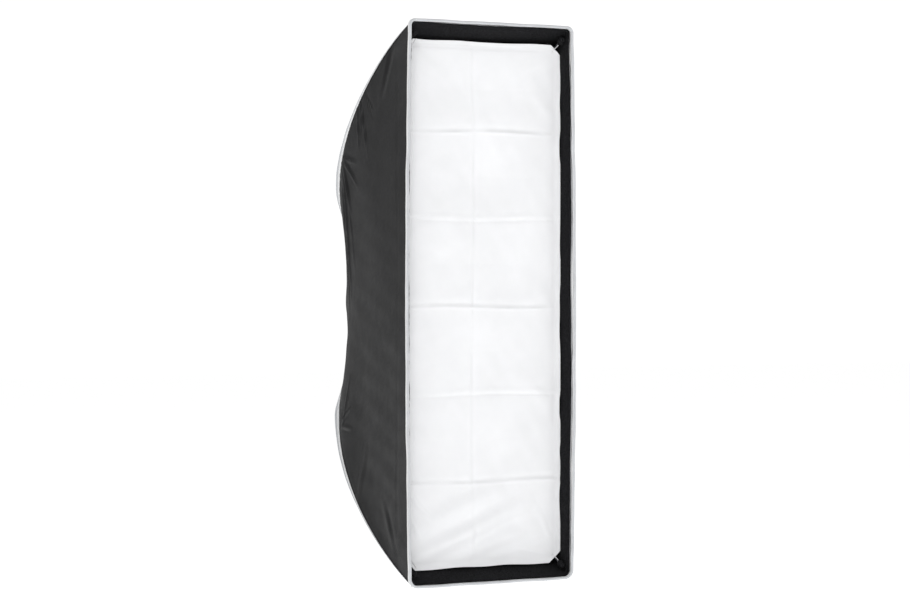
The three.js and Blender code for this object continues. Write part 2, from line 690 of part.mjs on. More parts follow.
function rodSocket() {
  const axis = new THREE.Vector3(KNUCKLE_WIDTH / 2, 0, 0);
  const hinge = new THREE.Vector3(HINGE_X, HINGE_Y, HINGE_Z);
  const knuckle = rod(hinge.clone().sub(axis), hinge.clone().add(axis), KNUCKLE_RADIUS, 16);
  const neck = box([HINGE_X - 6, HINGE_Y - 5, HINGE_Z], [HINGE_X + 6, HINGE_Y + 5, HINGE_Z + NECK + 2]);
  const barrel = rod(onBarrel(-3), onBarrel(BARREL_LENGTH), BARREL_RADIUS, 16);
  const seat = onBarrel(BUTTON_AT);
  const along = new THREE.Vector3(0, 1, 0);
  const boss = rod(seat, seat.clone().addScaledVector(along, -8.5), BUTTON_RADIUS + 1.8, 12);
  const pinHole = PIN_RADIUS + GAP;
  const buttonHole = BUTTON_RADIUS + GAP;
  const holes = [
    rod(hinge.clone().addScaledVector(axis, -2), hinge.clone().addScaledVector(axis, 2), pinHole, 8),
    rod(onBarrel(7.5), onBarrel(BARREL_LENGTH + 5), ROD_RADIUS + 2 * GAP, 8),
    rod(seat.clone().addScaledVector(along, -3.1), seat.clone().addScaledVector(along, -12), buttonHole, 12),
  ];
  return combine([knuckle, neck, barrel, boss], holes);
}

function latchButton() {
  const start = onBarrel(BUTTON_AT).add(new THREE.Vector3(0, -5.8, 0));
  const profile = [[0, 0], [BUTTON_RADIUS, 0], [BUTTON_RADIUS, 4.4], [BUTTON_RADIUS - 1, 5.4], [0, 5.4]];
  return latheAlong(profile, start, new THREE.Vector3(0, -1, 0));
}

// A rounded plastic cap over the rod's end, bored for the rod.
function tipCap() {
  const start = ROD_TIP.clone().addScaledVector(tipDirection(), -9);
  const bore = ROD_RADIUS + 1.8 * GAP;
  return latheAlong(
    [[bore, 0], [3.5, 0], [3.5, 11], [2, 13], [0, 13.6], [0, 9.3], [bore, 9.3], [bore, 0]],
    start, tipDirection(), 10,
  );
}

// The sewn pocket that holds the capped end in the shell's corner, open to the rear.
function cornerPocket() {
  const start = ROD_TIP.clone().addScaledVector(tipDirection(), -6);
  return latheAlong(
    [[3.9, 0], [5, 0], [5, 10], [3, 13.8], [0, 14.6], [0, 12.2], [3.9, 10], [3.9, 0]],
    start, tipDirection(), 10,
  );
}

function addRods() {
  const pieces = [
    ['rod_socket', rodSocket, ALUMINIUM], ['spring_rod', springRod, SPRING_STEEL],
    ['rod_tip', tipCap, PLASTIC], ['corner_pocket', cornerPocket, WEBBING],
    ['latch_button', latchButton, PLASTIC],
  ];
  for (const [corner, sideX, sideZ] of CORNERS) {
    for (const [name, make, look] of pieces) {
      add(`${name}_${corner}`, mirrorGeometry(make(), sideX, sideZ), look);
    }
    add(`seam_binding_${corner}`, seamBinding(sideX, sideZ), BINDING);
    add(`baffle_strap_${corner}`, baffleStrap(sideX, sideZ), WEBBING);
  }
}

// ---- assembly -------------------------------------------------------------------------------------

add('insert_ring', insertRing(), ALUMINIUM);
add('bayonet_plate', bayonetPlate(), STEEL);
for (let i = 0; i < 3; i += 1) add(`plate_screw_${i + 1}`, plateScrew(i), STEEL);
addSpeedRing();
addClampScrew();
add('rear_collar', rearCollar(), WEBBING);
addRods();
addPanels();
addRimBindings();
addLoopBands();
add('front_diffuser', frontDiffuser(), WHITE);
add('inner_baffle', innerBaffle(), WHITE);

export default softbox;
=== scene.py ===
"""Looks of the strip softbox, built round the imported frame.

Metres, +Z up. The open front faces -Y, and the origin is the centre of the bayonet's seat.
"""

import math

import bpy
import numpy as np
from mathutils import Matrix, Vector


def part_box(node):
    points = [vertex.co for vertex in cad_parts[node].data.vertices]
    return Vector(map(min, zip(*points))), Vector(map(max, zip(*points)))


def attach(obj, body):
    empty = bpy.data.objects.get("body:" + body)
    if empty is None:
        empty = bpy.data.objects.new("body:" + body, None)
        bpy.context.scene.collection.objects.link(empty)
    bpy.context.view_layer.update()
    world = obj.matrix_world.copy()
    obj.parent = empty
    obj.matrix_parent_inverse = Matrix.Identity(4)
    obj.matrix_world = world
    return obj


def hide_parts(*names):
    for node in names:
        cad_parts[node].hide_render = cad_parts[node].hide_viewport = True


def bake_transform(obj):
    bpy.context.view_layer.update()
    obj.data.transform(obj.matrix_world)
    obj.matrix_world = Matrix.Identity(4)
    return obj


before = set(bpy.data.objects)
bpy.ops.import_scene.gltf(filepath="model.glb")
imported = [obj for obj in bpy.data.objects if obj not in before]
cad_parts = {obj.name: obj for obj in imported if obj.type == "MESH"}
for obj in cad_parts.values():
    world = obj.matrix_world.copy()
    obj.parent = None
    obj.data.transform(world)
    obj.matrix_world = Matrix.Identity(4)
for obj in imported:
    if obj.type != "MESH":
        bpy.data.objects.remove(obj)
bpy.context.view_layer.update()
MM = 0.001

# ---- camera ----

RIM_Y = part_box("top_rim_binding")[0][1]
CAMERA_TURN = math.radians(27.0)  # to the left of the front
CAMERA_DISTANCE = 3.961  # to the middle of the front rim
CAMERA_HEIGHT = 0.040
LENS_MM = 97.2
SHIFT = (-0.042, -0.0277)


def make_camera():
    data = bpy.data.cameras.new("camera")
    data.lens = LENS_MM
    data.sensor_width = 36
    data.sensor_fit = "HORIZONTAL"
    data.shift_x, data.shift_y = SHIFT
    data.clip_end = 50
    camera = bpy.data.objects.new("camera", data)
    bpy.context.collection.objects.link(camera)
    back = Vector((math.sin(CAMERA_TURN), math.cos(CAMERA_TURN), 0)) * CAMERA_DISTANCE
    camera.location = Vector((0, RIM_Y, CAMERA_HEIGHT)) - back
    camera.rotation_euler = (math.pi / 2, 0, -CAMERA_TURN)
    bpy.context.scene.camera = camera


make_camera()

# ---- the shell's shape, as the CAD has it ----

SEAM = np.array([(58, -22, 80), (150, -14, 201), (150, -235, 379), (142.5, -417, 446)]) * MM
REAR_SIDE = 85 * MM
REAR_END = 88 * MM
SIDE_BEND = np.array((122, -112, 0)) * MM
END_SAG = 5 * MM
RIM_BOW = 5 * MM
FRONT_LIFT = 0.008
BOTTOM_SAG = np.array((0, 4, 6)) * MM  # the lower seams hang away from their rods at mid length
RIM_HALF = np.array((148.5, 453)) * MM
RIM_CORNER = {"top": 11 * MM, "bottom": 15 * MM}
LIP_DEPTH = 41 * MM
FABRIC = 1.2 * MM
HALVES = {"top": 1, "bottom": -1}
SIDES = {"left": -1, "right": 1}


def smoothstep(value):
    value = np.clip(value, 0, 1)
    return value * value * (3 - 2 * value)


def bezier(points, t):
    """A Bezier curve of three or four points at each t, with one more axis for x, y, z."""
    t = np.asarray(t, float)[..., None]
    degree = len(points) - 1
    return sum(
        math.comb(degree, k) * (1 - t) ** (degree - k) * t**k * points[k]
        for k in range(degree + 1)
    )


def seam(t, side_x=1, side_z=1):
    """A corner seam, lifted a little towards the rim so that the panels reach the rim's tape."""
    line = bezier(SEAM, t)
    line[..., 2] *= 1 + FRONT_LIFT * smoothstep((np.asarray(t) - 0.55) / 0.4)
    if side_z < 0:
        line += BOTTOM_SAG * np.sin(np.pi * np.asarray(t, float)[..., None]) ** 2
    return line * (side_x, 1, side_z)


_T = np.linspace(0, 1, 600)
_SEAM_LINE = seam(_T)


def side_panel(side_x, u, v):
    """A long side panel: u from the ring to the rim, v from the bottom seam to the top one."""
    low, high = seam(u, side_x, -1), seam(u, side_x, 1)
    middle = (low + high) / 2
    profile = np.array((
        (side_x * REAR_SIDE, SEAM[0][1], 0),
        (side_x * SIDE_BEND[0], SIDE_BEND[1], 0),
        (side_x * (SEAM[3][0] + RIM_BOW), SEAM[3][1], 0),
    ))
    pull = (1 - (2 * v - 1) ** 2)[..., None]
    return low + (high - low) * v[..., None] + (bezier(profile, u) - middle) * pull


def end_panel(side_z, u, v):
    """The top or bottom panel: u from the ring to the rim, v from the left seam to the right one."""
    left, right = seam(u, -1, side_z), seam(u, 1, side_z)
    lift = (REAR_END - SEAM[0][2]) * (1 - u) ** 2 - END_SAG * np.sin(np.pi * u)
    point = left + (right - left) * v[..., None]
    point[..., 2] += side_z * lift * (1 - (2 * v - 1) ** 2)
    return point


def grid(count_u, count_v, from_u=0.0, to_u=1.0, from_v=0.0, to_v=1.0):
    u, v = np.linspace(from_u, to_u, count_u), np.linspace(from_v, to_v, count_v)
    return np.meshgrid(u, v, indexing="ij")


def normals_of(points, away):
    """Unit normals of a grid of points, on the side of the given direction field."""
    along, across = np.gradient(points, axis=0), np.gradient(points, axis=1)
    normal = np.cross(along, across)
    normal /= np.linalg.norm(normal, axis=-1, keepdims=True) + 1e-12
    wrong = np.sum(normal * away, axis=-1) < 0
    normal[wrong] *= -1
    return normal


def soft_noise(points, size, seed, waves=14):
    """Smooth noise of about -1 to 1 whose bumps are about size metres apart."""
    random = np.random.default_rng(seed)
    total = np.zeros(points.shape[:-1])
    for _ in range(waves):
        direction = random.normal(size=points.shape[-1])
        direction /= np.linalg.norm(direction)
        pitch = size * random.uniform(0.7, 1.6)
        total += np.cos(points @ direction * 2 * np.pi / pitch + random.uniform(0, 2 * np.pi))
    return total / math.sqrt(waves)


def fold(a, b, start, end, width, height):
    """A soft crease on the plane (a, b): it fades towards both ends and has a trough on each side."""
    start, end = np.array(start), np.array(end)
    line = end - start
    length = np.linalg.norm(line)
    line = line / length
    along = ((a - start[0]) * line[0] + (b - start[1]) * line[1]) / length
    across = (a - start[0]) * -line[1] + (b - start[1]) * line[0]
    fade = np.sin(np.pi * np.clip(along, 0, 1)) ** 0.8 * (1 - 0.45 * np.clip(along, 0, 1))
    ratio = (across / width) ** 2
    return height * fade * (1 - 0.9 * ratio) * np.exp(-ratio)


# ---- meshes ----


def link(name, mesh):
    piece = bpy.data.objects.new(name, mesh)
    bpy.context.collection.objects.link(piece)
    return piece


def grid_faces(rows, columns, offset=0):
    """The corner indices of a grid's quads."""
    index = np.arange(rows * columns).reshape(rows, columns) + offset
    return np.stack((index[:-1, :-1], index[1:, :-1], index[1:, 1:], index[:-1, 1:]), -1).reshape(-1, 4)


def mesh_from(name, points, faces, uvs, looks, face_looks):
    mesh = bpy.data.meshes.new(name)
    mesh.from_pydata(points.tolist(), [], faces)
    layer = mesh.uv_layers.new(name="UVMap")
    corners = np.empty(len(mesh.loops), np.int32)
    mesh.loops.foreach_get("vertex_index", corners)
    layer.data.foreach_set("uv", uvs[corners].astype(np.float32).ravel())
    for look in looks:
        mesh.materials.append(look)
    mesh.polygons.foreach_set("material_index", np.asarray(face_looks, np.int32))
    mesh.polygons.foreach_set("use_smooth", np.ones(len(mesh.polygons), bool))
    mesh.update()
    return mesh


def cloth(name, outer, normal, thickness, uv, looks):
    """A thin sheet as a closed mesh: the outer layer, the inner one and the edges between them.

    looks is (outer, inner). uv holds metres along the two ways of the cloth.
    """
    rows, columns = outer.shape[:2]
    inner = outer - normal * thickness
    count = rows * columns
    points = np.concatenate((outer.reshape(-1, 3), inner.reshape(-1, 3)))
    front = grid_faces(rows, columns)
    a, b, c = (points[front[:, k]] for k in (0, 1, 2))
    facing = np.sum(np.cross(b - a, c - a) * normal.reshape(-1, 3)[front[:, 0]])
    back = front[:, ::-1] + count
    index = np.arange(count).reshape(rows, columns)
    border = np.concatenate((index[0, :], index[1:, -1], index[-1, -2::-1], index[-2:0:-1, 0]))
    after = np.roll(border, -1)
    edge = np.stack((border, after, after + count, border + count), -1)
    faces = np.concatenate((front, back, edge))
    if facing < 0:
        faces = faces[:, ::-1]
    face_looks = np.concatenate((np.zeros(len(front)), np.ones(len(back)), np.zeros(len(edge))))
    uvs = np.concatenate((uv.reshape(-1, 2), uv.reshape(-1, 2)))
    vertex_normals = np.concatenate((normal.reshape(-1, 3), -normal.reshape(-1, 3)))
    mesh = mesh_from(name, points, faces.tolist(), uvs, looks, face_looks)
    mesh.normals_split_custom_set_from_vertices(vertex_normals.tolist())
    return link(name, mesh)


def tape(name, loops, uv_along, looks, look_of_column):
    """A bar whose cross-section is a closed loop of points at each step, with both ends capped."""
    steps, columns = loops.shape[:2]
    points = loops.reshape(-1, 3)
    index = np.arange(steps * columns).reshape(steps, columns)
    ring = np.roll(index, -1, axis=1)
    faces = np.stack((index[:-1], ring[:-1], ring[1:], index[1:]), -1).reshape(-1, 4).tolist()
    face_looks = np.tile(look_of_column, steps - 1).tolist()
    for cap in (index[0], index[-1, ::-1]):
        faces.append(cap.tolist())
        face_looks.append(int(look_of_column[0]))
    around = np.concatenate(([0], np.cumsum(np.linalg.norm(np.diff(loops[0], axis=0), axis=-1))))
    uvs = np.stack(np.meshgrid(uv_along, around, indexing="ij"), -1).reshape(-1, 2)
    mesh = mesh_from(name, points, faces, uvs, looks, face_looks)
    outward_faces(mesh)
    mesh.set_sharp_from_angle(angle=math.radians(50))
    return link(name, mesh)


def outward_faces(mesh):
    """Turns a closed mesh inside out if its faces point in."""
    mesh.calc_loop_triangles()
    points = np.array([v.co for v in mesh.vertices])
    corners = np.array([t.vertices for t in mesh.loop_triangles])
    a, b, c = (points[corners[:, k]] for k in range(3))
    if np.sum(a * np.cross(b, c)) < 0:
        mesh.flip_normals()


# ---- the cloth's placement, baked into its mesh ----


def follow(piece):
    """Bakes the piece's placement into its mesh."""
    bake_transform(piece)


# ---- materials ----


class Look:
    """A Principled material under construction, with short ways to add nodes."""

    def __init__(self, name, colour, roughness, metallic=0.0, **sockets):
        self.material = bpy.data.materials.new(name)
        self.material.use_nodes = True
        self.tree = self.material.node_tree
        self.shader = self.tree.nodes["Principled BSDF"]
        self.set("Base Color", (*colour, 1))
        self.set("Roughness", roughness)
        self.set("Metallic", metallic)
        for key, value in sockets.items():
            self.set(key.replace("_", " "), value)

    def set(self, socket, value):
        self.shader.inputs[socket].default_value = value

    def node(self, kind, **settings):
        node = self.tree.nodes.new(kind)
        for key, value in settings.items():
            setattr(node, key, value)
        return node

    def join(self, value, socket):
        """Puts a number, a colour or another node's output on an input."""
        if isinstance(value, bpy.types.NodeSocket):
            self.tree.links.new(value, socket)
        else:
            socket.default_value = value

    def math(self, operation, a, b=0.0, clamp=False):
        node = self.node("ShaderNodeMath", operation=operation, use_clamp=clamp)
        self.join(a, node.inputs[0])
        self.join(b, node.inputs[1])
        return node.outputs[0]

    def metres(self):
        """Metres along and across the cloth."""
        node = self.node("ShaderNodeSeparateXYZ")
        self.join(self.node("ShaderNodeUVMap", uv_map="UVMap").outputs[0], node.inputs[0])
        return node.outputs[0], node.outputs[1]

    def place(self):
        return self.node("ShaderNodeTexCoord").outputs["Object"]

    def noise(self, scale, detail=3.0, roughness=0.55, vector=None, distortion=0.0):
        node = self.node("ShaderNodeTexNoise")
        self.join(vector or self.place(), node.inputs["Vector"])
        settings = {"Scale": scale, "Detail": detail, "Roughness": roughness, "Distortion": distortion}
        for socket, value in settings.items():
            node.inputs[socket].default_value = value
        return node.outputs["Fac"]

    def wave(self, coordinate, pitch, phase=0.0):
        """A sine of -1 to 1 that repeats every pitch metres."""
        turned = self.math("MULTIPLY_ADD", coordinate, 2 * math.pi / pitch)
        turned.node.inputs[2].default_value = phase
        return self.math("SINE", turned)

    def ramp(self, factor, *stops):
        """Colours at positions from 0 to 1."""
        node = self.node("ShaderNodeValToRGB")
        self.join(factor, node.inputs[0])
        elements = node.color_ramp.elements
        while len(elements) < len(stops):
            elements.new(0.5)
        for element, (position, colour) in zip(elements, stops):
            element.position = position
            element.color = (*colour, 1)
        return node.outputs[0]

    def between(self, factor, low, high):
        """A number from low to high as the factor goes from 0 to 1."""
        node = self.node("ShaderNodeMapRange")
        self.join(factor, node.inputs["Value"])
        node.inputs["To Min"].default_value = low
        node.inputs["To Max"].default_value = high
        return node.outputs[0]

    def bump(self, height, distance, strength=1.0, below=None):
        node = self.node("ShaderNodeBump")
        node.inputs["Strength"].default_value = strength
        node.inputs["Distance"].default_value = distance
        self.join(height, node.inputs["Height"])
        if below is not None:
            self.join(below, node.inputs["Normal"])
        return node.outputs[0]

    def finish(self, colour=None, roughness=None, normal=None):
        for value, socket in ((colour, "Base Color"), (roughness, "Roughness"), (normal, "Normal")):
            if value is not None:
                self.join(value, self.shader.inputs[socket])
        return self.material


def tint(colour, factor):
    return tuple(channel * factor for channel in colour)


def weave_height(look, along, across, pitch):
    """Crossing threads, from 0 to 1."""
    product = look.math("MULTIPLY", look.wave(along, pitch), look.wave(across, pitch))
    return look.math("MULTIPLY_ADD", product, 0.5)


def make_nylon():
    """Dense charcoal nylon with a satin face: fine threads, faint streaks and rubbed patches."""
    colour = (0.0075, 0.0075, 0.0082)
    look = Look("shell_nylon_outside", colour, 0.4, Specular_IOR_Level=0.13)
    along, across = look.metres()
    threads = weave_height(look, along, across, 0.7 * MM)
    streaks = look.noise(9.0, 5.0, 0.6)
    rubbed = look.noise(45.0, 4.0, 0.6)
    tone = look.math("ADD", look.math("MULTIPLY", streaks, 0.75), look.math("MULTIPLY", rubbed, 0.25))
    shade = look.ramp(tone, (0.3, tint(colour, 0.86)), (0.7, tint(colour, 1.16)))
    rough = look.between(rubbed, 0.34, 0.52)
    cloth_bump = look.bump(look.noise(320.0, 3.0, 0.6), 0.25 * MM, 0.35)
    return look.finish(shade, rough, look.bump(threads, 0.06 * MM, 0.5, cloth_bump))


def make_lining():
    """Silver reflective lining, embossed with a small diamond pattern."""
    look = Look("shell_silver_lining", (0.72, 0.73, 0.74), 0.32, 0.85)
    along, across = look.metres()
    pitch = 3.2 * MM
    diagonal = look.wave(look.math("ADD", along, across), pitch)
    counter = look.wave(look.math("SUBTRACT", along, across), pitch)
    diamonds = look.math("MULTIPLY", diagonal, counter)
    crinkle = look.bump(look.noise(120.0, 4.0, 0.65), 0.8 * MM, 0.5)
    shade = look.ramp(look.noise(30.0), (0.3, (0.62, 0.63, 0.65)), (0.7, (0.78, 0.79, 0.8)))
    rough = look.between(look.noise(60.0), 0.24, 0.42)
    return look.finish(shade, rough, look.bump(diamonds, 0.12 * MM, 0.6, crinkle))


def make_loop_tape():
    """Black loop tape: a dense low pile in faint rows."""
    colour = (0.0095, 0.0095, 0.0105)
    look = Look("loop_tape_pile", colour, 0.95, Sheen_Weight=0.02, Specular_IOR_Level=0.04)
    across = look.metres()[1]
    rows = look.wave(across, 1.6 * MM)
    pile = look.noise(1400.0, 4.0, 0.7)
    clumps = look.noise(420.0, 3.0, 0.7)
    height = look.math("MULTIPLY_ADD", rows, 0.18)
    look.join(pile, height.node.inputs[2])
    tufts = look.math("MULTIPLY", pile, clumps)
    shade = look.ramp(tufts, (0.16, tint(colour, 0.3)), (0.36, tint(colour, 2.6)))
    return look.finish(shade, None, look.bump(height, 0.5 * MM, 0.9, look.bump(clumps, 0.7 * MM, 0.5)))


def make_binding(name, colour):
    """Woven polyester tape: fine ribs both ways and slight soiling."""
    look = Look(name, colour, 0.75, Sheen_Weight=0.15, Sheen_Roughness=0.5, Specular_IOR_Level=0.3)
    along, across = look.metres()
    ribs = look.wave(along, 1.1 * MM)
    cross = look.wave(across, 0.8 * MM)
    height = look.math("MULTIPLY_ADD", cross, 0.4)
    look.join(ribs, height.node.inputs[2])
    soil = look.noise(35.0, 4.0, 0.6)
    shade = look.ramp(soil, (0.3, tint(colour, 0.93)), (0.7, tint(colour, 1.03)))
    soft = look.bump(look.noise(200.0), 0.4 * MM, 0.3)
    return look.finish(shade, None, look.bump(height, 0.12 * MM, 0.5, soft))


def make_diffuser_cloth():
    """White diffusion nylon: a soft matt face with a fine weave and the faintest mottling."""
    colour = (0.9, 0.905, 0.92)
    look = Look(
        "diffuser_cloth_white", colour, 0.8, Sheen_Weight=0.2, Sheen_Roughness=0.5, Specular_IOR_Level=0.25
    )
    along, across = look.metres()
    threads = weave_height(look, along, across, 0.9 * MM)
    mottle = look.noise(14.0, 4.0, 0.55)
    shade = look.ramp(mottle, (0.3, tint(colour, 0.965)), (0.7, tint(colour, 1.02)))
    crinkle = look.bump(look.noise(55.0, 5.0, 0.6, distortion=0.4), 0.9 * MM, 0.22)
    return look.finish(shade, None, look.bump(threads, 0.08 * MM, 0.4, crinkle))


def make_elastic():
    """White covered elastic with a fine fibrous face."""
    look = Look("white_elastic", (0.85, 0.85, 0.86), 0.7, Sheen_Weight=0.2)
    fibres = look.noise(900.0, 2.0)
    shade = look.ramp(fibres, (0.3, (0.7, 0.7, 0.72)), (0.7, (0.9, 0.9, 0.9)))
    return look.finish(shade, None, look.bump(fibres, 0.2 * MM, 0.6))


def make_webbing():
    """Black woven webbing with ribs across it."""
    colour = (0.008, 0.008, 0.009)
    look = Look("black_webbing_weave", colour, 0.9, Specular_IOR_Level=0.08)
    along, across = look.metres()
    height = weave_height(look, along, across, 1.6 * MM)
    shade = look.ramp(look.noise(150.0), (0.3, tint(colour, 0.7)), (0.7, tint(colour, 1.5)))
    soft = look.bump(look.noise(500.0), 0.2 * MM, 0.4)
    return look.finish(shade, None, look.bump(height, 0.3 * MM, 0.7, soft))


def make_metal(name, colour, roughness, grain, metallic=1.0):
    """Machined or drawn metal: fine grain, clouded polish and small scuffs."""
    look = Look(name, colour, roughness, metallic)
    cloud = look.noise(40.0, 4.0, 0.6)
    fine = look.noise(grain, 3.0, 0.7)
    scuffs = look.noise(220.0, 6.0, 0.75, distortion=0.6)
    shade = look.ramp(cloud, (0.3, tint(colour, 0.85)), (0.7, tint(colour, 1.15)))
    rough = look.between(look.math("MULTIPLY", cloud, scuffs), roughness * 0.75, min(1.0, roughness * 1.9))
    return look.finish(shade, rough, look.bump(fine, 0.05 * MM, 0.4, look.bump(scuffs, 0.08 * MM, 0.2)))


def make_plastic():
    """Black moulded plastic with a fine spark-eroded texture."""
    colour = (0.013, 0.013, 0.014)
    look = Look("black_plastic_moulded", colour, 0.5, Specular_IOR_Level=0.45)
    grain = look.noise(1500.0, 2.0, 0.6)
    worn = look.noise(90.0, 4.0, 0.6)
    shade = look.ramp(worn, (0.35, tint(colour, 0.8)), (0.7, tint(colour, 1.5)))
    return look.finish(shade, look.between(worn, 0.4, 0.62), look.bump(grain, 0.12 * MM, 0.6))


NYLON = make_nylon()
LINING = make_lining()
LOOP_TAPE = make_loop_tape()
# Two copies of one light tape: the darker copy is painted shade and the lighter copy is a painted
# highlight, each put on some faces of the bindings.
BINDING_PAINTED_SHADE = make_binding("binding_tape_painted_shade", (0.62, 0.635, 0.655))
BINDING_PAINTED_LIGHT = make_binding("binding_tape_painted_light", (0.88, 0.885, 0.89))
DIFFUSER_CLOTH = make_diffuser_cloth()
ELASTIC = make_elastic()
WEBBING = make_webbing()
ANODISED = make_metal("anodised_aluminium_black", (0.045, 0.045, 0.05), 0.42, 900.0, 0.9)
STEEL = make_metal("plated_steel_satin", (0.62, 0.63, 0.65), 0.28, 1400.0)
SPRING_STEEL = make_metal("spring_steel_drawn", (0.4, 0.41, 0.43), 0.34, 1800.0)
PLASTIC = make_plastic()

# ---- the shell's four panels ----

# Creases on a long side panel, each as (distance behind the bayonet seat, height), both in
# millimetres from start to end, then width and height. Most fan out from where the rods bend most.
SIDE_FOLDS = (
    ((212, 342), (232, 238), 3.2, 1.5),
    ((200, 328), (192, 248), 3.4, 1.3),
    ((222, 340), (206, 262), 3.0, -0.9),
    ((236, 346), (272, 306), 6.0, -1.6),
    ((348, 416), (300, 330), 9.0, -1.2),
    ((108, 246), (182, 232), 4.0, 1.1),
    ((108, 242), (178, 190), 4.2, 1.4),
    ((104, 240), (126, 140), 4.6, 1.5),
    ((98, 230), (92, -10), 5.0, 1.6),
    ((92, 215), (60, 30), 4.4, 1.3),
    ((110, 225), (124, 40), 5.5, 1.0),
    ((84, 150), (70, -60), 4.6, 0.9),
    ((88, -206), (134, -178), 4.2, 1.2),
    ((90, -212), (150, -214), 4.6, 0.9),
    ((96, -220), (112, -120), 6.0, 0.9),
    ((200, -330), (226, -236), 7.0, 0.7),
    ((300, -320), (352, -396), 10.0, 0.5),
    ((322, -330), (366, -412), 8.0, -0.4),
)
# The same for the top and bottom panels, on each side: (depth, distance from the middle).
END_FOLDS = (
    ((90, 115), (200, 40), 5.0, 1.2),
    ((50, 90), (100, 20), 5.0, 1.1),
    ((250, 130), (360, 70), 7.0, 0.9),
)
SIDE_FOLD_RISE = 2.0
SHELL = 0.7 * FABRIC  # the cloth and its lining
HEM_LINE = 362 * MM  # a stitched line behind the lip
RIM_LINE = 409 * MM
FLARE = 1.6 * MM
FLARE_FROM = 404 * MM  # depth behind the seat
FLARE_OVER = 10 * MM


def seam_pucker(distance, along, seed):
    """Little gathers beside a stitched seam."""
    line = np.stack((along, np.zeros_like(along)), -1)
    return 0.3 * MM * soft_noise(line, 14 * MM, seed, 8) * np.exp(-distance / (9 * MM))


def panel_relief(points, distance, along, seed):
    """How far the cloth of any panel stands off its plain shape."""
    depth = -points[..., 1]
    relief = 0.9 * MM * soft_noise(points, 0.16, seed) + 0.22 * MM * soft_noise(points, 0.045, seed + 1)
    relief *= smoothstep(distance / 0.03)
    relief += seam_pucker(distance, along, seed + 2)
    for line, drop in ((HEM_LINE, 0.45 * MM), (RIM_LINE, 0.35 * MM)):
        relief -= drop * np.exp(-(((depth - line) / (1.3 * MM)) ** 2))
    return relief


def flare(depth):
    """The hem's edge turns out into the rim binding."""
    return FLARE * smoothstep((depth - FLARE_FROM) / FLARE_OVER)


def side_shell(side_x, u, v):
    """A long side panel as sewn, with its creases: points and normals of its outer face."""
    points = side_panel(side_x, u, v)
    away = np.broadcast_to((side_x, 0.4, 0.0), points.shape)
    normal = normals_of(points, away)
    depth, height = -points[..., 1], points[..., 2]
    reach = np.linalg.norm(seam(u, side_x, 1) - seam(u, side_x, -1), axis=-1)
    distance = np.minimum(v, 1 - v) * reach
    relief = panel_relief(points, distance, depth + height, 11 if side_x < 0 else 31)
    turned = 1 if side_x < 0 else -1
    for start, end, width, rise in SIDE_FOLDS:
        first, last = (start[0] * MM, turned * start[1] * MM), (end[0] * MM, turned * end[1] * MM)
        relief += fold(depth, height, first, last, width * MM, SIDE_FOLD_RISE * rise * MM)
    points = points + normal * (relief + flare(depth))[..., None]
    return points, normals_of(points, away)


def build_side_panels(count_u=110, count_v=241):
    for side, side_x in SIDES.items():
        u, v = grid(count_u, count_v, 0.0, 0.996)
        points, normal = side_shell(side_x, u, v)
        uv = np.stack((-points[..., 1], points[..., 2]), -1)
        middle = count_v // 2
        for half, rows in (("bottom", slice(0, middle + 1)), ("top", slice(middle, count_v))):
            cut = (points[:, rows], normal[:, rows], SHELL, uv[:, rows])
            piece = cloth(f"{side}_panel_{half}", *cut, (NYLON, LINING))
            follow(piece)
            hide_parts(f"{side}_panel")


def end_shell(side_z, u, v):
    """A top or bottom panel as sewn: points and normals of its outer face."""
    points = end_panel(side_z, u, v)
    away = np.broadcast_to((0.0, 0.4, side_z), points.shape)
    normal = normals_of(points, away)
    depth, across = -points[..., 1], points[..., 0]
    distance = np.minimum(v, 1 - v) * 2 * seam(u)[..., 0]
    relief = panel_relief(points, distance, depth, 51 if side_z > 0 else 71)
    for side in (-1, 1):
        for start, end, width, rise in END_FOLDS:
            first, last = (start[0] * MM, side * start[1] * MM), (end[0] * MM, side * end[1] * MM)
            relief += fold(depth, across, first, last, width * MM, rise * MM)
    points = points + normal * (relief + flare(depth))[..., None]
    return points, normals_of(points, away)


def build_end_panels(count_u=120, count_v=61):
    for half, side_z in HALVES.items():
        u, v = grid(count_u, count_v, 0.0, 0.996)
        points, normal = end_shell(side_z, u, v)
        steps = np.linalg.norm(np.diff(points[:, count_v // 2], axis=0), axis=-1)
        run = np.concatenate(([0], np.cumsum(steps)))
        uv = np.stack((np.broadcast_to(run[:, None], u.shape), points[..., 0]), -1)
        piece = cloth(f"{half}_panel_cloth", points, normal, SHELL, uv, (NYLON, LINING))
        follow(piece)
        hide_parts(f"{half}_panel")


# ---- seam and rim bindings ----

FIN_HEIGHT = 7.5 * MM
FIN_AT_RIM = 0.08  # its share of that height at the rim, which grows towards the ring
FIN_GROWTH = 1.6
FIN_POWER = 1.9
FIN_AT_RING = 0.12  # its share of the height left at the ring
FIN_END = 0.17  # it rises from here, as a share of the seam from the ring, over the next share
FIN_RISE = 0.12


def corner_out(t, side_x, side_z):
    """The way a corner seam's binding stands out: between the outward normals of its two panels."""
    step = 1e-3
    along = seam(t + step, side_x, side_z) - seam(t - step, side_x, side_z)
    side_v = np.full_like(t, 1.0 if side_z > 0 else 0.0)
    end_v = np.full_like(t, 1.0 if side_x > 0 else 0.0)
    side_way = side_panel(side_x, t, side_v - side_z * 0.01) - side_panel(side_x, t, side_v)
    end_way = end_panel(side_z, t, end_v - side_x * 0.01) - end_panel(side_z, t, end_v)
    total = np.zeros_like(along)
    for way, away in ((side_way, (side_x, 0.6, 0)), (end_way, (0, 0.6, side_z))):
        normal = np.cross(along, way)
        normal /= np.linalg.norm(normal, axis=-1, keepdims=True)
        sign = np.sign(np.sum(normal * away, axis=-1, keepdims=True))
        total += normal * sign
    along /= np.linalg.norm(along, axis=-1, keepdims=True)
    return total / np.linalg.norm(total, axis=-1, keepdims=True), along


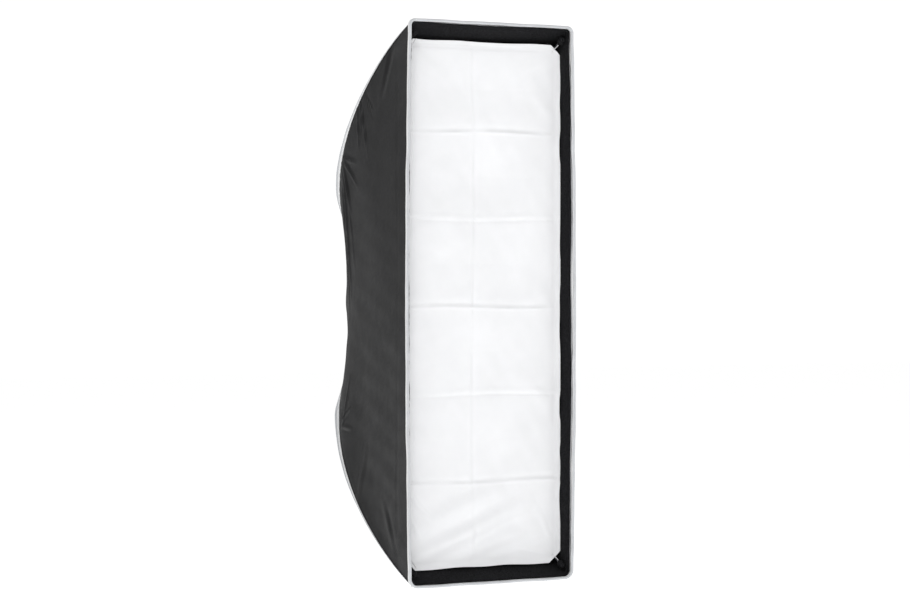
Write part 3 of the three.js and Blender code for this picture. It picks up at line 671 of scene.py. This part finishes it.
# The binding's cross-section, as (out from the seam, across it) in shares of its height and
# half thickness: a tape folded over the seam, thicker where it is stitched down.
FIN_SECTION = (
    (-0.35, 1.1), (-0.1, 1.25), (0.12, 1.2), (0.3, 0.95), (0.36, 0.8),
    (0.6, 0.85), (0.85, 0.8), (0.96, 0.55), (1.0, 0.0),
)
FIN_PAINTED_LIGHT_TO = 4  # sections up to here, the stitched edge, take the lighter copy of the tape as a painted highlight; the rest take the darker copy as painted shade


def fin_height(t):
    """How far the seam's tape stands out: almost flat at the rim, highest at the bend, low at the ring."""
    grown = np.clip(FIN_AT_RIM + FIN_GROWTH * (1 - t) ** FIN_POWER, 0, 1)
    return FIN_HEIGHT * grown * (FIN_AT_RING + (1 - FIN_AT_RING) * smoothstep((t - FIN_END) / FIN_RISE))


def build_seam_bindings(steps=150):
    half_thick = 1.25 * MM
    section = np.array(FIN_SECTION)
    loop = np.concatenate((section, section[-2::-1] * (1, -1)))
    count = len(loop)
    columns = np.arange(count)
    # white marks the sections that get the painted highlight copy of the tape; the rest get the painted
    # shade copy.
    white = (columns < FIN_PAINTED_LIGHT_TO) | (columns >= count - 1 - FIN_PAINTED_LIGHT_TO)
    for half, side_z in HALVES.items():
        for side, side_x in SIDES.items():
            t = np.linspace(0.035, 0.995, steps)
            base = seam(t, side_x, side_z)
            out, along = corner_out(t, side_x, side_z)
            across = np.cross(out, along)
            run = np.concatenate(([0], np.cumsum(np.linalg.norm(np.diff(base, axis=0), axis=-1))))
            line = np.stack((run, np.zeros_like(run)), -1)
            seed = 5 + (side_x > 0) + 2 * (side_z > 0)
            height = fin_height(t) * (1 + 0.07 * soft_noise(line, 0.05, seed))
            lean = 0.35 * MM * soft_noise(line, 0.07, seed + 10)
            wide = half_thick * (1 + 0.1 * soft_noise(line, 0.03, seed + 20))
            sideways = loop[None, :, 1] * wide[:, None] + lean[:, None] * np.clip(loop[:, 0], 0, 1)
            loops = (
                base[:, None]
                + out[:, None] * (loop[None, :, :1] * height[:, None, None])
                + across[:, None] * sideways[..., None]
            )
            name = f"seam_binding_{half}_{side}"
            piece = tape(f"{name}_tape", loops, run, (BINDING_PAINTED_SHADE, BINDING_PAINTED_LIGHT), white.astype(int))
            follow(piece)
            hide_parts(name)


def outline_path(half_size, radius, bow, side_z, steps_flat=60, steps_arc=14):
    """One end of a rounded, bowed rectangle: up one corner, along the end and down the other."""
    half_x, half_z = half_size
    centre = (half_x - radius, half_z - radius)
    angles = np.linspace(0, np.pi / 2, steps_arc)
    right = np.stack((centre[0] + radius * np.cos(angles), centre[1] + radius * np.sin(angles)), -1)
    right_way = np.stack((np.cos(angles), np.sin(angles)), -1)
    flat_x = np.linspace(centre[0], -centre[0], steps_flat)[1:-1]
    flat = np.stack((flat_x, np.full_like(flat_x, half_z)), -1)
    flat_way = np.broadcast_to((0.0, 1.0), flat.shape)
    left, left_way = right[::-1] * (-1, 1), right_way[::-1] * (-1, 1)
    points = np.concatenate((right, flat, left))
    ways = np.concatenate((right_way, flat_way, left_way))
    bowed = bow * (1 - (points[:, 1] / half_z) ** 2) * np.sign(points[:, 0])
    points[:, 0] += bowed
    return points * (1, side_z), ways * (1, side_z)


def side_path(half_size, radius, bow, side_x, side_z, steps=70):
    """Half of a long edge, from the corner's end to the middle."""
    half_x, half_z = half_size
    z = np.linspace(half_z - radius, 0, steps)
    x = half_x + bow * (1 - (z / half_z) ** 2)
    points = np.stack((x * side_x, z * side_z), -1)
    return points, np.broadcast_to((float(side_x), 0.0), points.shape)


# The rim binding's cross-section, as (in from the outline, back from the rim) in millimetres:
# a tape folded over the edge, with its outer leg, round front and inner leg.
RIM_SECTION = (
    (0.8, 7.6), (0.3, 6.8), (0.15, 5.0), (0.0, 3.0), (0.2, 1.4), (0.75, 0.45), (1.7, 0.0), (2.9, 0.05),
    (3.8, 0.5), (4.3, 1.5), (4.4, 3.0), (4.3, 5.2), (4.1, 6.4), (3.6, 6.9), (2.1, 6.9),
)
RIM_PAINTED_SHADE = range(4, 9)  # the front fold takes the darker copy of the tape, painted shade; the other sections take the lighter copy, a painted highlight


def build_rim_bindings():
    section = np.array(RIM_SECTION) * MM
    # 1 for sections with the painted highlight copy of the tape, 0 for the front fold's painted shade
    # copy.
    rim_painted_light_columns = np.array([k not in RIM_PAINTED_SHADE for k in range(len(section))]).astype(int)
    paths = []
    for half, side_z in HALVES.items():
        path = outline_path(RIM_HALF, RIM_CORNER[half], RIM_BOW, side_z)
        paths.append((half, f"{half}_rim_binding", path))
        for side, side_x in SIDES.items():
            path = side_path(RIM_HALF, RIM_CORNER[half], RIM_BOW, side_x, side_z)
            paths.append((half, f"{side}_rim_binding", path))
    for half, node, (points, ways) in paths:
        run = np.concatenate(([0], np.cumsum(np.linalg.norm(np.diff(points, axis=0), axis=-1))))
        at_ends = smoothstep(run / 0.02) * smoothstep((run[-1] - run) / 0.02)
        wobble = 0.35 * MM * soft_noise(np.abs(points), 0.06, 3) * at_ends
        flat = points[:, None] - ways[:, None] * (section[None, :, :1] - wobble[:, None, None])
        back = np.broadcast_to(RIM_Y + section[None, :, 1], flat.shape[:2])
        loops = np.stack((flat[..., 0], back, flat[..., 1]), -1)
        piece = tape(f"{node}_{half}_tape", loops, run, (BINDING_PAINTED_SHADE, BINDING_PAINTED_LIGHT), rim_painted_light_columns)
        follow(piece)
        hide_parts(node)


# ---- the lip's lining of loop tape ----


PILE = 1.2 * MM
BAND_U = (0.885, 0.992)  # shares of the way from the ring to the rim
BAND_IN = SHELL + PILE + 0.3 * MM  # from the shell's outer face to the pile's face


def lip_edges(plane):
    """The lip's inside at one depth: (z, half width at each z) and (x, half height at each x)."""
    u, v = grid(160, 81, 0.8, 0.996)
    edges = []
    for surface, along, out in ((side_panel(1, u, v), 2, 0), (end_panel(1, u, v), 0, 2)):
        line = np.array([
            [np.interp(-plane, -surface[:, k, 1], surface[:, k, axis]) for axis in (along, out)]
            for k in range(surface.shape[1])
        ])
        edges.append((line[:, 0], line[:, 1] - BAND_IN))
    return edges


def build_loop_bands(count_u=14, count_v=301):
    """Black loop tape round the inside of the lip, on the shell's own face."""
    for ends, surface, nodes in (
        (False, side_shell, {f"{side}_loop_band": x for side, x in SIDES.items()}),
        (True, end_shell, {f"{half}_loop_band": z for half, z in HALVES.items()}),
    ):
        for node, sign in nodes.items():
            u, v = grid(count_u, count_v, *BAND_U, 0.0015, 0.9985)
            points, normal = surface(sign, u, v)
            lumps = 0.3 * MM * soft_noise(points, 0.03, 8) + 0.2 * MM * soft_noise(points, 0.009, 9)
            shape = points - normal * (BAND_IN + lumps.clip(-0.4 * MM, 0.6 * MM))[..., None]
            facing = -normal
            uv = np.stack((-points[..., 1], points[..., 0 if ends else 2]), -1)
            middle = count_v // 2
            cuts = {node[:-10]: slice(0, count_v)}
            if not ends:
                cuts = {"bottom": slice(0, middle + 1), "top": slice(middle, count_v)}
            for half, rows in cuts.items():
                cut = (shape[:, rows], facing[:, rows], PILE, uv[:, rows])
                piece = cloth(f"{node}_{half}_pile", *cut, (LOOP_TAPE, LOOP_TAPE))
                follow(piece)
                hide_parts(node)


# ---- diffusers ----

DIFFUSER_Y = RIM_Y + LIP_DEPTH
DIFFUSER_THICK = 0.7 * MM
# The fold marks of a cloth that was kept folded in two across and in six along.
CREASE_X = -20 * MM
CREASE_PITCH = 142 * MM
CREASE_SHIFT = -8 * MM
DIFFUSER_SHORT = {"top": 6.5 * MM, "bottom": 2.0 * MM}  # the cloth hangs a little low
DIFFUSER_CORNER = {"top": 16 * MM, "bottom": 20 * MM}  # cut off so that the rods pass
DIFFUSER_LEAD = 5 * MM  # its right edge is stuck on nearer the rim
# Slack folds, each as (x, z) in millimetres from start to end, then width and height.
DIFFUSER_FOLDS = (
    ((-140, -420), (96, -322), 20, 11.0),
    ((-140, -372), (40, -300), 18, 5.0),
    ((-70, -424), (124, -352), 16, 7.5),
    ((-10, -424), (130, -386), 11, 3.5),
    ((-138, -300), (-86, -356), 6, 2.2),
    ((-138, -330), (-104, -390), 5, 1.8),
    ((132, -404), (96, -330), 6, 1.1),
    ((124, -416), (50, -400), 5, 2.0),
    ((136, -180), (70, -120), 14, 1.5),
    ((136, 40), (60, -20), 16, 1.4),
    ((134, 300), (80, 350), 12, 1.2),
    ((130, 410), (70, 372), 10, 1.4),
    ((-132, 408), (-60, 360), 12, 1.3),
    ((-136, 120), (-70, 80), 14, 1.0),
    ((-136, -60), (-80, -110), 12, 1.1),
    ((-10, 300), (60, 240), 18, 0.9),
    ((-90, 230), (-30, 190), 16, 0.8),
    ((20, -240), (110, -200), 18, 1.0),
)


def fold_mark(distance, width, height):
    """A sharp ridge with a shallow trough on one side, as cloth keeps from being folded."""
    ridge = np.exp(-np.abs(distance) / width)
    trough = np.exp(-(((distance - 2.5 * width) / (2 * width)) ** 2))
    return height * (ridge - 0.45 * trough)


def diffuser_relief(x, z):
    """How far the front diffuser stands forward of its plane."""
    drift = 1.6 * MM * np.sin(x * 23 + np.round(z / CREASE_PITCH) * 2.1)
    shift = (z - CREASE_SHIFT) / CREASE_PITCH
    nearest = np.round(shift)
    across = (shift - nearest) * CREASE_PITCH
    place = np.stack((x, z), -1)
    uneven = 1 + 0.45 * soft_noise(place, 0.08, 93)
    sign = np.where(nearest % 2 == 0, 1.0, -0.75)
    relief = fold_mark(across + drift, 2.4 * MM, 1.7 * MM) * sign * uneven
    beside = x - CREASE_X - 2 * MM * np.sin(z * 9)
    relief += fold_mark(beside, 2.4 * MM, 1.3 * MM) * uneven
    relief += 1.6 * MM * np.cos(np.pi * across / CREASE_PITCH) * np.cos(np.pi * x / 0.29)
    relief += 0.9 * MM * soft_noise(place, 0.12, 91) + 0.28 * MM * soft_noise(place, 0.035, 92)
    for start, end, width, height in DIFFUSER_FOLDS:
        first, last = np.array(start) * MM, np.array(end) * MM
        relief += fold(x, z, first, last, width * MM, height * MM)
    return relief


def build_front_diffuser(count_x=141, count_z=230):
    (edge_z, wide), (edge_x, tall) = lip_edges(DIFFUSER_Y)
    for half, side_z in HALVES.items():
        cut = DIFFUSER_CORNER[half]
        s, t = grid(count_x, count_z, -1.0, 1.0, 0.0, 1.0)
        half_z = np.interp(np.abs(s) * wide.mean(), edge_x, tall) - DIFFUSER_SHORT[half]
        z = t * half_z
        half_x = np.interp(z, edge_z, wide) - 0.4 * MM
        x = s * half_x
        p = np.clip((np.abs(x) - (half_x - cut)) / cut, 0, 1)
        q = np.clip((z - (half_z - cut)) / cut, 0, 1)
        in_corner = (p > 0) & (q > 0)
        x = np.where(in_corner, np.sign(x) * (half_x - cut + cut * p * (1 - q / 2)), x)
        z = np.where(in_corner, half_z - cut + cut * q * (1 - p / 2), z)
        edge = np.minimum(half_x * (1 - np.abs(s)), half_z * (1 - t))
        near = np.exp(-edge / (12 * MM))
        wave = soft_noise(np.stack((x, z * side_z), -1), 0.07, 95)
        x = x * (1 - 0.006 * near * (0.5 + wave).clip(0, 2))
        z = (z * (1 - 0.0012 * near * (1 + wave))) * side_z
        forward = diffuser_relief(x, z) * (1 - np.exp(-edge / (14 * MM)))
        hem = 2.5 * MM * np.exp(-((edge / (4 * MM)) ** 2))
        stitch = -0.5 * MM * np.exp(-(((edge - 11 * MM) / (1.2 * MM)) ** 2))
        lead = DIFFUSER_LEAD * smoothstep((s - 0.2) / 0.8)
        points = np.stack((x, DIFFUSER_Y - forward - hem - stitch - lead, z), -1)
        normal = normals_of(points, np.broadcast_to((0.0, -1.0, 0.0), points.shape))
        uv = np.stack((x, z), -1)
        looks = (DIFFUSER_CLOTH, DIFFUSER_CLOTH)
        piece = cloth(f"front_diffuser_{half}", points, normal, DIFFUSER_THICK, uv, looks)
        follow(piece)
        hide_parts("front_diffuser")


def round_loops(line, radius, sides=8):
    """Circles of points round a line, for an elastic."""
    way = np.gradient(line, axis=0)
    way /= np.linalg.norm(way, axis=-1, keepdims=True)
    wide = np.cross(way, (0.0, 1.0, 0.0))
    wide /= np.linalg.norm(wide, axis=-1, keepdims=True)
    deep = np.cross(way, wide)
    turn = np.linspace(0, 2 * np.pi, sides, endpoint=False)[None, :, None]
    return line[:, None] + radius * (wide[:, None] * np.cos(turn) + deep[:, None] * np.sin(turn))


ELASTIC_RADIUS = 0.55 * MM


def build_corner_elastics():
    """A thin white elastic from each corner of the front diffuser to the pocket in the lip's corner."""
    t = np.linspace(0, 1, 14)[:, None]
    for half, side_z in HALVES.items():
        for side, side_x in SIDES.items():
            low, high = (np.array(corner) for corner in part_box(f"corner_pocket_{half}_{side}"))
            near_x, near_z = np.minimum(np.abs(low), np.abs(high))[[0, 2]]
            plane = DIFFUSER_Y - (DIFFUSER_LEAD if side_x > 0 else 0)
            outward = np.array((side_x, 1, side_z))
            start = outward * (near_x - 1.8 * MM, plane - 1.5 * MM, near_z - 9.4 * MM)
            end = outward * (near_x - 0.2 * MM, (low[1] + high[1]) / 2, near_z - 1 * MM)
            line = start + (end - start) * t
            run = t[:, 0] * float(np.linalg.norm(end - start))
            loops = round_loops(line, ELASTIC_RADIUS)
            name = f"corner_elastic_{half}_{side}"
            piece = tape(name, loops, run, (ELASTIC,), np.zeros(loops.shape[1], int))
            follow(piece)


def build_inner_baffle(count_x=61, count_z=90):
    """The inner diffuser, pulled at its four corners so that its edges draw in."""
    low, high = (np.array(corner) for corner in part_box("inner_baffle"))
    half_x, half_z = high[0], high[2]
    plane = (low[1] + high[1]) / 2
    for half, side_z in HALVES.items():
        s, t = grid(count_x, count_z, -1.0, 1.0, 0.0, 1.0)
        x = s * (half_x - 12 * MM * (1 - t**2))
        z = t * (half_z - 12 * MM * (1 - s**2))
        place = np.stack((x, z * side_z), -1)
        sag = 4 * MM * (1 - s**2) * (1 - t**2)
        relief = 1.0 * MM * soft_noise(place, 0.09, 97) + 0.3 * MM * soft_noise(place, 0.03, 98)
        for side in (-1, 1):
            relief += fold(x, z, (side * 0.085, 0.26), (side * 0.02, 0.12), 6 * MM, 1.5 * MM)
        points = np.stack((x, plane - sag - relief, z * side_z), -1)
        normal = normals_of(points, np.broadcast_to((0.0, -1.0, 0.0), points.shape))
        uv = np.stack((x, z), -1)
        looks = (DIFFUSER_CLOTH, DIFFUSER_CLOTH)
        piece = cloth(f"inner_baffle_{half}", points, normal, DIFFUSER_THICK, uv, looks)
        follow(piece)
        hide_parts("inner_baffle")


STRAP_HALF_WIDTH = 4 * MM
STRAP_NECK = 0.7 * MM  # how much narrower each half is at mid length
STRAP_HALF_THICK = 0.5 * MM
STRAP_SECTION = ((-1, -1), (-0.5, -1.1), (0.5, -1.1), (1, -1), (1, 1), (0.5, 1.1), (-0.5, 1.1), (-1, 1))


def build_baffle_straps():
    """Black elastic straps from the baffle's corners to the rods, narrower where they are stretched."""
    for half, side_z in HALVES.items():
        for side, side_x in SIDES.items():
            node = f"baffle_strap_{half}_{side}"
            low, high = (np.array(corner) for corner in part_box(node))
            inner = np.minimum(np.abs(low), np.abs(high)) * (side_x, 0, side_z)
            outer = np.maximum(np.abs(low), np.abs(high)) * (side_x, 0, side_z)
            inner[1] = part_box("inner_baffle")[0][1]
            outer[1] = inner[1] + (high[1] - low[1]) * 0.8 * (1 if high[1] > inner[1] + 2 * MM else -1)
            inner -= (outer - inner) * 0.06
            t = np.linspace(0, 1, 24)
            line = inner + (outer - inner) * t[:, None]
            way = (outer - inner) / np.linalg.norm(outer - inner)
            wide = np.cross(way, (0, 1, 0))
            wide /= np.linalg.norm(wide)
            deep = np.cross(wide, way)
            section = np.array(STRAP_SECTION)
            width = STRAP_HALF_WIDTH - STRAP_NECK * np.sin(np.pi * t)
            loops = (
                line[:, None]
                + wide * (section[None, :, :1] * width[:, None, None])
                + deep * (section[None, :, 1:] * STRAP_HALF_THICK)
            )
            length = float(np.linalg.norm(outer - inner))
            piece = tape(f"{node}_elastic", loops, t * length, (WEBBING,), np.zeros(len(section), int))
            follow(piece)
            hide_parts(node)


# ---- the rear collar ----


def rear_outline(angle):
    """The fabric's rear opening at each angle about Y, as a distance from the axis."""
    corner = np.array((SEAM[0][0], SEAM[0][2]))
    samples = []
    for quarter in range(4):
        t = np.linspace(0, 1, 200, endpoint=False)
        if quarter % 2 == 0:
            side = 1 if quarter == 0 else -1
            x = side * (corner[0] + (REAR_SIDE - corner[0]) * (1 - (2 * t - 1) ** 2))
            z = side * corner[1] * (2 * t - 1)
        else:
            side = 1 if quarter == 1 else -1
            x = side * corner[0] * (1 - 2 * t)
            z = side * (corner[1] + (REAR_END - corner[1]) * (1 - (2 * t - 1) ** 2))
        samples.append(np.stack((x, z), -1))
    line = np.concatenate(samples)
    turn = np.arctan2(line[:, 1], line[:, 0])
    radius = np.hypot(line[:, 0], line[:, 1])
    order = np.argsort(turn)
    turn, radius = turn[order], radius[order]
    wrapped = (angle + np.pi) % (2 * np.pi) - np.pi
    return np.interp(wrapped, turn, radius, period=2 * np.pi)


COLLAR_THICK = 0.7 * MM


def build_rear_collar(count=360):
    """Gathered cloth from the panels' rear edges to an elastic hem that grips the ring."""
    ring_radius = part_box("retaining_ring")[1][0] + 3 * MM
    angle = np.linspace(0, 2 * np.pi, count)
    edge = rear_outline(angle)
    # (share of the way from the panels' edge to the ring, distance behind the seat plane in mm)
    stations = (
        (-0.1, 24.6), (-0.03, 22.6), (0.0, 21.4), (0.12, 20.7), (0.35, 20.4), (0.6, 20.2),
        (0.82, 19.9), (0.95, 19.2), (1.0, 18.2), (1.0, 17.4), (0.93, 16.9),
    )
    pleats = soft_noise(np.stack((np.cos(angle), np.sin(angle)), -1) * 0.3, 0.045, 41, 10)
    rows = []
    for share, back in stations:
        radius = edge + (ring_radius + 1.2 * MM - edge) * share
        radius = np.maximum(radius, ring_radius + 0.9 * MM)
        gather = pleats * 0.45 * MM * math.sin(math.pi * min(max(share, 0.0), 1.0))
        rows.append(np.stack((radius * np.cos(angle), -back * MM + gather, radius * np.sin(angle)), -1))
    points = np.array(rows)
    away = points * (1, 0, 1) * 0.4 / ring_radius + (0, 1, 0)
    normal = normals_of(points, away)
    run = np.arange(len(stations)) * 2 * MM
    uv = np.stack(np.meshgrid(run, angle * ring_radius, indexing="ij"), -1)
    piece = cloth("rear_collar_cloth", points, normal, COLLAR_THICK, uv, (NYLON, LINING))
    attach(piece, "speed_ring")
    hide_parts("rear_collar")


# ---- frame hardware ----

HARDWARE_LOOKS = {
    "insert_ring": ANODISED, "speed_ring": ANODISED, "rod_socket": ANODISED, "bayonet_plate": STEEL,
    "plate_screw": STEEL, "retaining_ring": STEEL, "hinge_pin": STEEL, "clamp_screw": STEEL,
    "spring_rod": SPRING_STEEL, "rod_tip": PLASTIC, "latch_button": PLASTIC, "clamp_knob": PLASTIC,
    "corner_pocket": LOOP_TAPE,
}


def finish_hardware():
    """The CAD solids that stay: a material, rounded edges and smooth shading on the round faces."""
    for name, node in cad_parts.items():
        look = next((look for start, look in HARDWARE_LOOKS.items() if name.startswith(start)), None)
        if look is None:
            continue
        node.data.materials.clear()
        node.data.materials.append(look)
        node.data.polygons.foreach_set("use_smooth", np.ones(len(node.data.polygons), bool))
        node.data.set_sharp_from_angle(angle=math.radians(32))
        bevel = node.modifiers.new("edges", "BEVEL")
        bevel.width = 0.3 * MM
        bevel.segments = 2
        bevel.limit_method = "ANGLE"
        bevel.angle_limit = math.radians(40)
        bevel.harden_normals = True


# ---- stage ----

FLOOR_Z = -0.62
FLOOR_GLOW = 0.68
FILL = 0.34
BACKDROP = 1.05


def make_stage():
    mesh = bpy.data.meshes.new("floor")
    reach = 12.0
    corners = [(x * reach, y * reach, FLOOR_Z) for x, y in ((-1, -1), (1, -1), (1, 1), (-1, 1))]
    mesh.from_pydata(corners, [], [(0, 1, 2, 3)])
    look = Look("floor_white", (0.93, 0.93, 0.93), 0.9)
    look.set("Emission Color", (1, 1, 1, 1))
    look.set("Emission Strength", FLOOR_GLOW)
    mesh.materials.append(look.material)
    link("floor", mesh)


def make_light(name, place, aim, size, power):
    data = bpy.data.lights.new(name, "AREA")
    data.shape = "RECTANGLE"
    data.size, data.size_y = size
    data.energy = power
    light = bpy.data.objects.new(name, data)
    bpy.context.collection.objects.link(light)
    light.location = place
    light.rotation_euler = (Vector(aim) - Vector(place)).to_track_quat("-Z", "Y").to_euler()


def make_lights():
    """A white backdrop, an even fill, and four large soft lights."""
    world = bpy.data.worlds.new("studio")
    bpy.context.scene.world = world
    world.use_nodes = True
    tree = world.node_tree
    fill = tree.nodes["Background"]
    fill.inputs["Color"].default_value = (1, 1, 1, 1)
    fill.inputs["Strength"].default_value = FILL
    backdrop = tree.nodes.new("ShaderNodeBackground")
    backdrop.inputs["Color"].default_value = (1, 1, 1, 1)
    backdrop.inputs["Strength"].default_value = BACKDROP
    seen = tree.nodes.new("ShaderNodeLightPath")
    mix = tree.nodes.new("ShaderNodeMixShader")
    tree.links.new(seen.outputs["Is Camera Ray"], mix.inputs[0])
    tree.links.new(fill.outputs[0], mix.inputs[1])
    tree.links.new(backdrop.outputs[0], mix.inputs[2])
    tree.links.new(mix.outputs[0], tree.nodes["World Output"].inputs["Surface"])
    make_light("key", (-1.7, -3.2, 2.3), (0, -0.4, 0), (1.2, 1.2), 40)
    make_light("front", (0.6, -4.0, 0.1), (0, -0.4, 0), (1.4, 1.8), 20)
    make_light("rear", (-1.6, 2.4, 1.6), (0, -0.1, 0), (1.6, 1.6), 16)
    make_light("side", (3.0, 0.5, 1.2), (0, -0.2, 0), (1.6, 1.6), 22)
    bpy.context.scene.view_settings.view_transform = "Standard"


# ---- assembly ----

build_side_panels()
build_end_panels()
build_seam_bindings()
build_rim_bindings()
build_loop_bands()
build_front_diffuser()
build_corner_elastics()
build_inner_baffle()
build_baffle_straps()
build_rear_collar()
finish_hardware()
make_stage()
make_lights()
